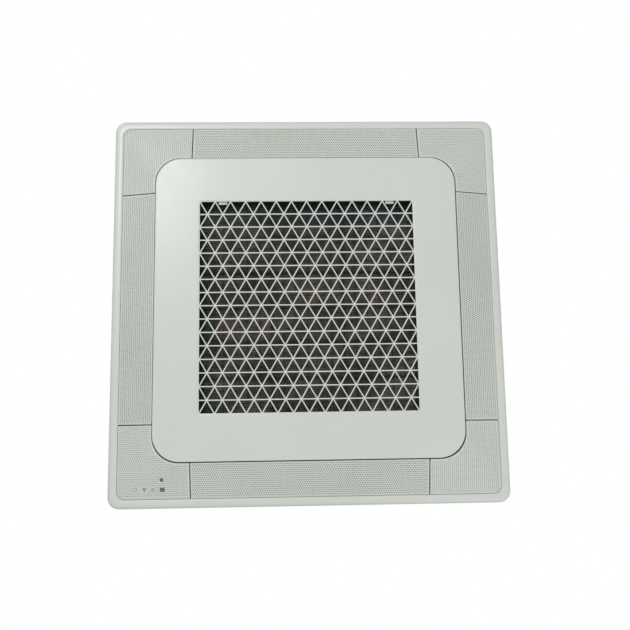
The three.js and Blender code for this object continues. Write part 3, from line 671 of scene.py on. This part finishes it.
# ------------------------------------------------------------------ decor frame
def cut_boxes(obj, spans):
    """Cuts boxes out of a piece, and bakes the result into its mesh."""
    tool = piece("cutter", *boxes(spans), INNER_WHITE, None)
    modifier = obj.modifiers.new("cut", "BOOLEAN")
    modifier.object = tool
    modifier.operation = "DIFFERENCE"
    modifier.solver = "EXACT"
    graph = bpy.context.evaluated_depsgraph_get()
    baked = bpy.data.meshes.new_from_object(obj.evaluated_get(graph))
    obj.modifiers.clear()
    obj.data = baked
    bpy.data.objects.remove(tool)


def spun(spans):
    """Box spans given for the +X side, on all four sides."""
    made = []
    for x0, x1, y0, y1, z0, z1 in spans:
        made += [
            (x0, x1, y0, y1, z0, z1),
            (-y1, -y0, x0, x1, z0, z1),
            (-x1, -x0, -y1, -y0, z0, z1),
            (y0, y1, -x1, -x0, z0, z1),
        ]
    return made


def make_decor_frame():
    """The rim's pillow section, the web with its air slots, and the wall round the intake."""
    half, crest, inner = RIM["half"], RIM["crest"], RIM["inner"]
    pillow = [(half, 0.0), (half, -1.6)]
    for i in range(1, 13):
        angle = i / 12 * math.pi / 2
        out, down = math.cos(angle) ** 0.85, math.sin(angle) ** 0.8
        pillow.append((half - 9.5 + 9.5 * out, -1.6 + (crest + 1.6) * down))
    back = [
        (inner + 1.6, crest + 0.15),
        (inner + 0.5, crest + 0.5),
        (inner, crest + 1.2),
        (inner, 6.0),
        (298.5, 6.0),
        (298.5, 0.0),
    ]
    share = (RIM["radius"] - RIM["inner_r"]) / (half - inner)
    ring = square_ring(pillow + back, half, RIM["radius"], 20, share)
    rim = piece("panel_rim", *ring, WHITE, "cassette")
    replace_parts(rim, "decor_frame")

    web_ring = square_tube(WEB["inner"], WEB["outer"], WEB["bottom"], WEB["top"], 12.0, 8)
    web = piece("panel_web", *web_ring, INNER_WHITE, None)
    slot = (SLOT["inner"], SLOT["outer"], -SLOT["half"], SLOT["half"], 2.0, 8.0)
    cut_boxes(web, spun([slot]))
    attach(bevel(web, 0.4), "cassette")

    wall_ring = square_tube(
        WALL["inner"], WALL["outer"], WALL["bottom"], WEB["bottom"], WALL["radius"]
    )
    wall = piece("intake_wall", *wall_ring, INNER_WHITE, None)
    cut_boxes(wall, [(x - 9, x + 9, 230, 240, -22, -15) for x in (-HINGE["x"], HINGE["x"])])
    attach(bevel(wall, 0.3), "cassette")

    lug_starts = (LUG["from"], -LUG["from"] - LUG["wide"])
    lugs = spun([(247, 254, y, y + LUG["wide"], -16.0, WEB["bottom"]) for y in lug_starts])
    ribs = spun([(238.0, 245.0, y, y + 1.6, -4.0, WEB["bottom"]) for y in range(-160, 161, 40)])
    bosses = [
        rod("x", x - 2.5, x + 2.5, HINGE["y"], HINGE["z"], HINGE["boss"])
        for hinge in (-HINGE["x"], HINGE["x"])
        for x in (hinge - 11.5, hinge + 11.5)
    ]
    lug_piece = piece("pivot_lugs", *merged(boxes(lugs + ribs), *bosses), INNER_WHITE, "cassette")
    bevel(lug_piece, 0.4)
    end = -LOUVRE["pin_end"]
    pin = rod("y", end - 5.2, end, LOUVRE["pivot"], LOUVRE["pivot_z"], LOUVRE["pin"])
    idle_pin = bevel(piece("idle_pin", *pin, INNER_WHITE, None), 0.2)
    on_each_side(idle_pin, "idle_pin", dict.fromkeys(SIDES, "cassette"))
    seat = [(3.1, -0.9), (8.5, -0.9), (9.5, WEB["bottom"]), (3.1, WEB["bottom"])]
    ends = (-PANEL_SCREW, PANEL_SCREW)
    seats = merged(*[revolved(seat, (x, y), 32) for x in ends for y in ends])
    piece("screw_seats", *seats, INNER_WHITE, "cassette")


# ------------------------------------------------------------------ intake grille
LATCH_X = OPEN_X - 1.5 * ISO["pitch"]


def lattice_bars():
    """Rounded bars in the three directions of the lattice; their ends run into the plate."""
    width, face = ISO["bar"] / 2, GRILLE["face"]
    depth = GRILLE["thickness"] + 0.4
    profile = [
        (-width, 0.75), (-width * 0.86, 0.3), (-width * 0.5, 0.06), (0, 0.0),
        (width * 0.5, 0.06), (width * 0.86, 0.3), (width, 0.75), (width * 0.66, depth),
        (-width * 0.66, depth),
    ]
    spans = []
    # A bar runs along the opening's hinge-side edge, none along its other edges.
    for row in range(ISO["rows"]):
        y = OPEN_Y - row * ROW
        spans.append(((-OPEN_X, y), (OPEN_X, y)))
    run = ISO["pitch"] / 2 / ROW
    for i in range(-ISO["rows"] // 2, ISO["columns"] + 1):
        start = -OPEN_X + i * ISO["pitch"]
        for side in (1, -1):
            low = max(0.0, (-OPEN_X - start) / run)
            high = min(2 * OPEN_Y, (OPEN_X - start) / run)
            if high - low > 1.0:
                spans.append([(side * (start + run * t), OPEN_Y - t) for t in (low, high)])
    parts = []
    for (x0, y0), (x1, y1) in spans:
        length = math.hypot(x1 - x0, y1 - y0)
        along = ((x1 - x0) / length, (y1 - y0) / length)
        ends = []
        for x, y, reach in ((x0, y0, -0.8), (x1, y1, 0.8)):
            x, y = x + reach * along[0], y + reach * along[1]
            ends.append([(x - along[1] * u, y + along[0] * u, face + v) for u, v in profile])
        parts.append(capped(ends))
    return merged(*parts)


def make_grille():
    """The plate with its lattice, what stands behind it, and the two latches."""
    half, radius, edge = GRILLE["half"], GRILLE["radius"], GRILLE["edge"]
    face = GRILLE["face"]
    back = face + GRILLE["thickness"]
    root = back - INTO
    steps = 20
    # A bullnose edge. The plate hangs a little off centre, towards the left and the latches.
    section = [(half - 0.9, back), (half - 0.25, back - 0.6)]
    for i in range(11):
        angle = i / 10 * math.pi / 2
        section.append((half - edge + edge * math.cos(angle), face + 1.4 - 0.9 * math.sin(angle)))
    loops = []
    for size, z in section:
        loop = rounded_loop(size, size, radius - half + size, z, steps)
        loops.append([(x - OFF_CENTRE, y - OFF_CENTRE, z) for x, y, z in loop])
    # The plate's face swells by half a millimetre between its edge and the opening.
    for share in (0.2, 0.4, 0.6, 0.8, 0.95):
        half_x = half - edge + share * (OPEN_X - half + edge)
        half_y = half - edge + share * (OPEN_Y - half + edge)
        corner = radius - edge + share * (ISO["corner"] - radius + edge)
        z = face + 0.5 - 0.5 * math.sin(share * math.pi / 2)
        loops.append(rounded_loop(half_x, half_y, corner, z, steps))
    corner = ISO["corner"]
    loops.append(rounded_loop(OPEN_X + 0.5, OPEN_Y + 0.5, corner, face + 0.02, steps))
    loops.append(rounded_loop(OPEN_X, OPEN_Y, corner, face + 0.35, steps))
    loops.append(rounded_loop(OPEN_X, OPEN_Y, corner, back, steps))
    plate = piece("grille_plate", *lofted(loops), WHITE, "grille")
    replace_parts(plate, "intake_grille")

    piece("grille_lattice", *lattice_bars(), WHITE, "grille", 30.0)
    corner_fill = []
    for sx in (-1, 1):
        for sy in (-1, 1):
            x, y, r = sx * OPEN_X, sy * OPEN_Y, ISO["corner"]
            angles = [i * math.pi / 16 for i in range(9)]
            arc = [(x - sx * r * (1 - math.sin(a)), y - sy * r * (1 - math.cos(a))) for a in angles]
            corner_fill.append(prism([(x + sx, y + sy), *arc], face + 0.3, back))
    piece("grille_opening_corners", *merged(*corner_fill), WHITE, "grille")

    skirt = square_tube(229.0, 231.5, root, -9.0, 30.0)
    skirt_piece = piece("grille_skirt", *skirt, INNER_WHITE, None)
    gaps = [(x - 7.8, x + 7.8, -233, -227, back, -8.0) for x in (-LATCH_X, LATCH_X)]
    cut_boxes(skirt_piece, gaps)
    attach(bevel(skirt_piece, 0.4), "grille")
    # The filter's posts, then the latches' guides.
    trims = [
        (sx * 174.5 - 2.5, sx * 174.5 + 2.5, t * 160 - 4, t * 160 + 4, root, -4.3)
        for sx in (-1, 1)
        for t in (-1, -0.3, 0.3, 1)
    ]
    trims += [
        (x + e * 8.2 - 0.8, x + e * 8.2 + 0.8, -226, -171, root, -16)
        for x in (-LATCH_X, LATCH_X)
        for e in (-1, 1)
    ]
    stiffeners = [
        (x, x + 43, y, y + 1.6, root, -15.0) for x in (-225, 182) for y in range(-150, 151, 50)
    ]
    bevel(piece("grille_trims", *boxes(trims + stiffeners), INNER_WHITE, "grille"), 0.4)
    knuckles = []
    y, z, reach = HINGE["y"], HINGE["z"], HINGE["knuckle"]
    eye = [(y + reach * math.cos(a), z + reach * math.sin(a)) for a in np.linspace(0, math.pi / 2, 5)]
    outline = [(226.0, root), (y + reach, root), *eye, (226.0, z + reach + 1.0)]
    for x in (-HINGE["x"], HINGE["x"]):
        points, faces = prism(outline, x - 6.0, x + 6.0)
        knuckles.append(([(xx, y, z) for y, z, xx in points], faces))
    bevel(piece("grille_knuckles", *merged(*knuckles), INNER_WHITE, "grille"), 0.4)

    for side, sx in (("left", -1), ("right", 1)):
        x = sx * LATCH_X
        slider = boxes(
            [
                (x - 6.8, x + 6.8, -226.5, 4.2 - OPEN_Y, -19.9, -17.2),
                (x - 5.2, x + 5.2, -226.5, -223.5, -17.3, -12.3),
                (x - 5.2, x + 5.2, -232.4, -224.0, -15.0, -12.3),
            ]
        )
        grips = boxes(
            [(x - 5, x + 5, y, y + 0.8, -20.3, -19.8) for y in (0.5 - OPEN_Y, 2.3 - OPEN_Y)]
        )
        latch = piece("latch_" + side, *merged(slider, grips), WHITE, "latch_" + side)
        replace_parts(bevel(latch, 0.35), "grille_latch_" + side)
        # A raised arrowhead on the plate shows where each latch is.
        outline = [(x - 4.4, -OPEN_Y - 11), (x + 4.4, -OPEN_Y - 11), (x, -OPEN_Y - 5)]
        arrow = prism(outline, face - 0.22, face + 0.5)
        bevel(piece("latch_arrow_" + side, *arrow, WHITE, "grille"), 0.15)


make_decor_frame()
make_grille()


# ------------------------------------------------------------------ air filter
def dress(node, material, edge=0.0):
    """Keeps a CAD node, with a finish and softened edges."""
    obj = nodes[node]
    obj.data.materials.clear()
    obj.data.materials.append(material)
    if edge:
        bevel(obj, edge)
    return obj


def make_filter():
    """The CAD frame, with a woven net and a grid of strands in place of the CAD net."""
    frame_bars = dress("filter_frame", FILTER_BLACK, 0.3)
    low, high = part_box("filter_net")
    x, y, z = high.x / MM, high.y / MM, (low.z + 0.0002) / MM
    net = piece("filter_weave", *boxes([(-x, x, -y, y, z, z + 0.12)]), NET, "grille")
    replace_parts(net, "filter_net")
    # A finer grid of moulded strands holds the net flat.
    strands = [(-x, x, i * y / 9 - 0.35, i * y / 9 + 0.35, -0.6, 0.1) for i in range(-8, 9)]
    strands += [(i * x / 9 - 0.35, i * x / 9 + 0.35, -y, y, -0.6, 0.1) for i in range(-8, 9)]
    piece("filter_strands", *boxes(strands), FILTER_BLACK, "grille")


# ------------------------------------------------------------------ fan-coil unit, seen inside
def make_bell():
    """The inlet bell, with small ribs under its flange."""
    bell = [(176, 13), (176, 15.6), (163, 15.6)]
    turns = np.linspace(0.1, math.pi / 2, 14)
    curve = [(163 - 41.6 * math.sin(a), 15.6 + 45.4 * (1 - math.cos(a))) for a in turns]
    inside = [(r - 2.3, z - 0.6 * (1 - i / 13)) for i, (r, z) in enumerate(curve)]
    profile = bell + curve + inside[::-1] + [(160, 13.0)]
    bell_piece = piece("inlet_bell", *revolved(profile), BLACK, "cassette")
    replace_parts(bell_piece, "bell_mouth")
    ribs = []
    for i in range(12):
        angle = i * math.pi / 6
        rib = boxes([(164.5, 174.5, -0.9, 0.9, 12.4, 13.2)])
        turn = Matrix.Rotation(angle, 3, "Z")
        ribs.append(([tuple(turn @ Vector(p)) for p in rib[0]], rib[1]))
    piece("bell_ribs", *merged(*ribs), BLACK, "cassette")


def make_fan():
    """A backward-curved turbo fan: hub, shroud, seven blades and three screws."""
    top, plate_z, outer = 152.0, 149.0, 160.0
    hub = [
        (5.08, top - 42), (20, top - 42), (25, top - 40), (34, top - 31), (46, top - 12),
        (56, top - 4.5), (68, plate_z), (outer, plate_z), (outer, top), (62, top),
        (52, top - 2.5), (42, top - 9), (30, top - 27), (20, top - 36), (5.08, top - 36),
    ]
    shroud = [
        (124, 56), (126.5, 56), (127.5, 60), (130, 64), (136, 67.5), (outer, 74),
        (outer, 76.5), (135, 70), (128, 66.5), (125.2, 61),
    ]
    wheel = piece("fan_wheel", *revolved(hub), FAN_GREY, "fan")
    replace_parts(wheel, "turbo_fan")
    piece("fan_shroud", *revolved(shroud), FAN_GREY, "fan")
    blades = []
    for blade in range(7):
        rows = []
        for z, lean in ((67.0, 0.0), (90.0, 0.035), (120.0, 0.06), (150.0, 0.08)):
            inner_r = 101.0 - 5.0 * (z - 67.0) / 83.0
            front, rear = [], []
            for i in range(13):
                t = i / 12
                r = inner_r + t * (158.0 - inner_r)
                angle = blade * 2 * math.pi / 7 - 0.75 * t**1.15 + lean
                wide = (0.9 + 3.0 * math.sin(math.pi * min(1.0, 0.08 + t) ** 0.8)) / 2
                front.append((r * math.cos(angle - wide / r), r * math.sin(angle - wide / r), z))
                rear.append((r * math.cos(angle + wide / r), r * math.sin(angle + wide / r), z))
            rows.append(front + rear[::-1])
        blades.append(capped(rows))
    piece("fan_blades", *merged(*blades), FAN_GREY, "fan", 50.0)
    boss = [(0.1, 108.2), (2.4, 108.2), (2.8, 110.5), (0.1, 110.5)]
    places = [(15 * math.cos(a), 15 * math.sin(a)) for a in (0.5, 2.6, 4.7)]
    bosses = merged(*[revolved(boss, place, 16) for place in places])
    piece("fan_boss_screws", *bosses, PLATED, "fan")


def make_control_cover():
    """The CAD cover with its screws and a label of blank bars."""
    cover = dress("control_box_cover", GALVANISED, 0.3)
    screws = merged(*[screw_head((-198, y, 0.6), -1, 3.4) for y in (-126, 0, 126)])
    piece("control_cover_screws", *screws, PLATED, "cassette")
    label = boxes([(-212, -184, 30, 96, 0.42, 0.62)])
    piece("control_cover_label", *label, LABEL, "cassette")
    lines = [(-209, -190 - 4 * (i % 3), 37 + 7 * i, 38.4 + 7 * i, 0.34, 0.44) for i in range(8)]
    piece("control_label_bars", *boxes(lines), MARK_GREY, "cassette")


def screw_head(at, facing, radius):
    """Points and faces of a domed cross-head screw on a face that looks up or down."""
    x, y, z = at
    dome = [(0.05, 1.0), (0.2, 1.7), (0.55, 1.6), (0.85, 1.05), (1.0, 0.3), (1.0, -0.2), (0.05, -0.2)]
    head = revolved([(r * radius, z + facing * h) for r, h in dome], (x, y), 20)
    slots = []
    for long, short in ((0.6 * radius, 0.12 * radius), (0.12 * radius, 0.6 * radius)):
        heights = (z + facing * 1.3, z + facing * 1.75)
        slots.append((x - long, x + long, y - short, y + short, *heights))
    return merged(head, boxes(slots))


# ------------------------------------------------------------------ casing
def swaged_sheet(name, width, height, swages, depth=SHEET["swage"], spacing=4.0):
    """A sheet that stands on its edge in the (y, z) plane, with rounded swages pressed out.
    Each swage is (centre y, centre z, half width, half height), measured from the sheet's middle."""
    columns, rows = round(width / spacing), round(height / spacing)
    y, z = np.meshgrid(
        np.linspace(-width / 2, width / 2, columns + 1), np.linspace(-height / 2, height / 2, rows + 1)
    )
    pressed = np.zeros_like(y)
    for cy, cz, half_y, half_z in swages:
        reach = min(half_y, half_z)
        dy = np.maximum(np.abs(y - cy) - (half_y - reach), 0)
        dz = np.maximum(np.abs(z - cz) - (half_z - reach), 0)
        near = np.clip((reach - np.hypot(dy, dz)) / SHEET["slope"], 0, 1)
        pressed = np.maximum(pressed, near * near * (3 - 2 * near))
    points = [tuple(p) for p in np.stack([depth * pressed, y, z], axis=-1).reshape(-1, 3)]
    faces = []
    for row in range(rows):
        for column in range(columns):
            i = row * (columns + 1) + column
            faces.append((i, i + 1, i + columns + 2, i + columns + 1))
    obj = piece(name, points, faces, GALVANISED, None)
    solid = obj.modifiers.new("thickness", "SOLIDIFY")
    solid.thickness = SHEET["thickness"] * MM
    solid.offset = 0.0
    return obj


def stand_at(sheet, angle, distance, z):
    """Moves a standing sheet out to a side of the casing."""
    out = Matrix.Translation(Vector((distance, 0, z)) * MM)
    sheet.matrix_world = Matrix.Rotation(angle, 4, "Z") @ out
    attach(sheet, "cassette")


def make_casing():
    """Sheets on every side, folds round their edges, the lid, and the screws."""
    half, chamfer, low, high = BODY["half"], BODY["chamfer"], BODY["bottom"] + 2, BODY["top"] - 1.2
    width, height, middle = 2 * (half - chamfer) - 2, high - low, (high + low) / 2
    grooves = [(y, 0, 13, 78) for y in (-165, -110, 110, 165)] + [(0, 0, 70, 78)]
    pipe_side = [(165, 20, 13, 58), (110, 20, 13, 58), (20, 20, 60, 58)]
    for turns, side in enumerate(SIDES):
        swages = pipe_side if side == "right" else grooves
        sheet = swaged_sheet("casing_sheet_" + side, width, height, swages)
        stand_at(sheet, turns * math.pi / 2, half - 0.4, middle)
        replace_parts(sheet, "casing_" + side)
    reach = (2 * half - chamfer) / math.sqrt(2)
    for turns, corner in enumerate(CORNERS):
        angle = math.pi / 4 + turns * math.pi / 2
        bevel_width = chamfer * math.sqrt(2) - 2.2
        over_hanger = [(0, 78, 24, 14)]
        sheet = swaged_sheet("casing_bevel_" + corner, bevel_width, height, over_hanger)
        stand_at(sheet, angle, reach - 0.4, middle)
        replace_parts(sheet, "casing_corner_" + corner)
        bracket = dress("hanger_" + corner, GALVANISED, 0.35)

    c = half - chamfer
    plan = [(half, -c), (half, c), (c, half), (-c, half)]
    plan += [(-x, -y) for x, y in plan]
    # The lid and the foot are folded round the side sheets.
    folds = {
        "casing_lid_fold": (BODY["top"] - 13, BODY["top"] - 0.8),
        "casing_foot_fold": (BODY["bottom"] + 2, BODY["bottom"] + 13),
    }
    for name, (z0, z1) in folds.items():
        section = [(1 + out / half, z) for out, z in ((0.9, z0), (0.9, z1), (0.1, z1), (0.1, z0))]
        loops = [[(x * grow, y * grow, z) for x, y in plan] for grow, z in section]
        bevel(piece(name, *lofted(loops), GALVANISED, "cassette"), 0.25)
    lid_swages = [(0, 0, 150, 150)]
    lid_swages += [(0, y, 190, 12) for y in (-215, 215)]
    lid_swages += [(x, 0, 12, 150) for x in (-215, 215)]
    lid = swaged_sheet("casing_lid", 2 * half, 2 * half, lid_swages, 2.5, 5.0)
    cut_corner_faces(lid, chamfer)
    raised = Matrix.Translation((0, 0, (BODY["top"] - 0.4) * MM))
    lid.matrix_world = raised @ Matrix.Rotation(-math.pi / 2, 4, "Y")
    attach(lid, "cassette")
    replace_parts(lid, "casing_top")

    screws = []
    for turns in range(4):
        for y in (-205, -70, 70, 205):
            for z in (BODY["top"] - 7, BODY["bottom"] + 8):
                points, faces = screw_head((0, 0, 0), 1, 3.6)
                turn = Matrix.Rotation(turns * math.pi / 2, 3, "Z")
                at = [turn @ Vector((half + 0.9 + pz, y + px, z + py)) for px, py, pz in points]
                screws.append(([tuple(p) for p in at], faces))
    piece("casing_screws", *merged(*screws), PLATED, "cassette")


def cut_corner_faces(sheet, chamfer):
    """Slides the grid's outer points inwards so that the square sheet gets chamfered corners."""
    half = BODY["half"] * MM
    limit = 2 * half - chamfer * MM
    for vertex in sheet.data.vertices:
        over = abs(vertex.co.y) + abs(vertex.co.z) - limit
        if over > 0:
            vertex.co.y -= math.copysign(over / 2, vertex.co.y)
            vertex.co.z -= math.copysign(over / 2, vertex.co.z)


def make_fittings():
    """CAD nodes that keep their shape, and the blank labels."""
    for node, material, edge in (
        ("pipe_plate", GALVANISED, 0.3),
        ("gas_pipe", COPPER, 0.0),
        ("liquid_pipe", COPPER, 0.0),
        ("gas_flare_nut", BRASS, 0.5),
        ("liquid_flare_nut", BRASS, 0.4),
        ("drain_socket", INNER_WHITE, 0.4),
        ("cable_gland", BLACK, 0.4),
        ("outlet_seal", FOAM, 0.8),
        ("drain_pan", FOAM, 1.0),
        ("heat_exchanger", FINS_X, 0.0),
        ("fan_motor", PLATED, 0.6),
        ("fan_nut", PLATED, 0.5),
        ("casing_insulation", FOAM, 0.0),
        ("control_box", GALVANISED, 0.3),
        ("drain_pump", INNER_WHITE, 0.6),
        ("float_switch", INNER_WHITE, 0.5),
        ("display_board", BOARD, 0.1),
        ("hinge_pin_left", PLATED, 0.2),
        ("hinge_pin_right", PLATED, 0.2),
    ):
        dress(node, material, edge)
    for side in SIDES:
        dress("louvre_motor_" + side, INNER_WHITE, 0.5)
    for corner in CORNERS:
        dress("panel_screw_" + corner, PLATED, 0.2)
    face = BODY["half"]
    plates = boxes([(face, face + 0.3, 8, 96, 222, 250), (face, face + 0.3, 124, 151, 205, 235)])
    piece("rating_labels", *plates, LABEL, "cassette")
    bars = [
        (face + 0.2, face + 0.4, 14, 50 + 12 * (i % 4), 225 + 4 * i, 226.4 + 4 * i) for i in range(6)
    ]
    piece("rating_label_bars", *boxes(bars), MARK_GREY, "cassette")


# ------------------------------------------------------------------ floor and light
def make_stage():
    """A pale floor, and a world that the camera sees as white."""
    bpy.ops.mesh.primitive_plane_add(size=60, location=(0, 0, -2.4))
    floor = bpy.context.object
    floor.name = "floor"
    pale = Nodes("floor")
    pale.fix("Base Color", (0.9, 0.9, 0.9, 1))
    pale.fix("Roughness", 0.9)
    floor.data.materials.append(pale.material)

    world = bpy.data.worlds.new("world")
    bpy.context.scene.world = world
    world.use_nodes = True
    tree = world.node_tree
    seen = tree.nodes["Background"]
    seen.inputs["Color"].default_value = (1, 1, 1, 1)
    seen.inputs["Strength"].default_value = 1.0
    unseen = tree.nodes.new("ShaderNodeBackground")
    unseen.inputs["Color"].default_value = (0.96, 1.0, 0.98, 1)
    unseen.inputs["Strength"].default_value = 0.35
    path = tree.nodes.new("ShaderNodeLightPath")
    mix = tree.nodes.new("ShaderNodeMixShader")
    tree.links.new(path.outputs["Is Camera Ray"], mix.inputs["Fac"])
    tree.links.new(unseen.outputs[0], mix.inputs[1])
    tree.links.new(seen.outputs[0], mix.inputs[2])
    tree.links.new(mix.outputs[0], tree.nodes["World Output"].inputs["Surface"])


def area_light(name, at, size, power, colour=(1, 1, 1)):
    """A square light that faces the panel's centre."""
    data = bpy.data.lights.new(name, "AREA")
    data.size = size
    data.energy = power
    data.color = colour
    light = bpy.data.objects.new(name, data)
    bpy.context.collection.objects.link(light)
    light.location = at
    light.rotation_euler = (-Vector(at)).to_track_quat("-Z", "Y").to_euler()


make_filter()
make_bell()
make_fan()
make_control_cover()
make_casing()
make_fittings()
make_stage()
area_light("window", (-0.77, -1.05, -2.3), 0.42, 18.5, (0.97, 1.0, 0.98))
area_light("raking", (-2.4, -2.85, -1.5), 0.15, 18.0, (1.0, 0.98, 0.95))
area_light("room_fill", (1.5, 2.0, -1.2), 2.0, 22.0, (1.0, 0.99, 0.98))
area_light("above", (0.4, -0.7, 3.2), 4.0, 70.0)

view_settings = bpy.context.scene.view_settings
view_settings.view_transform = "Standard"
view_settings.look = "None"
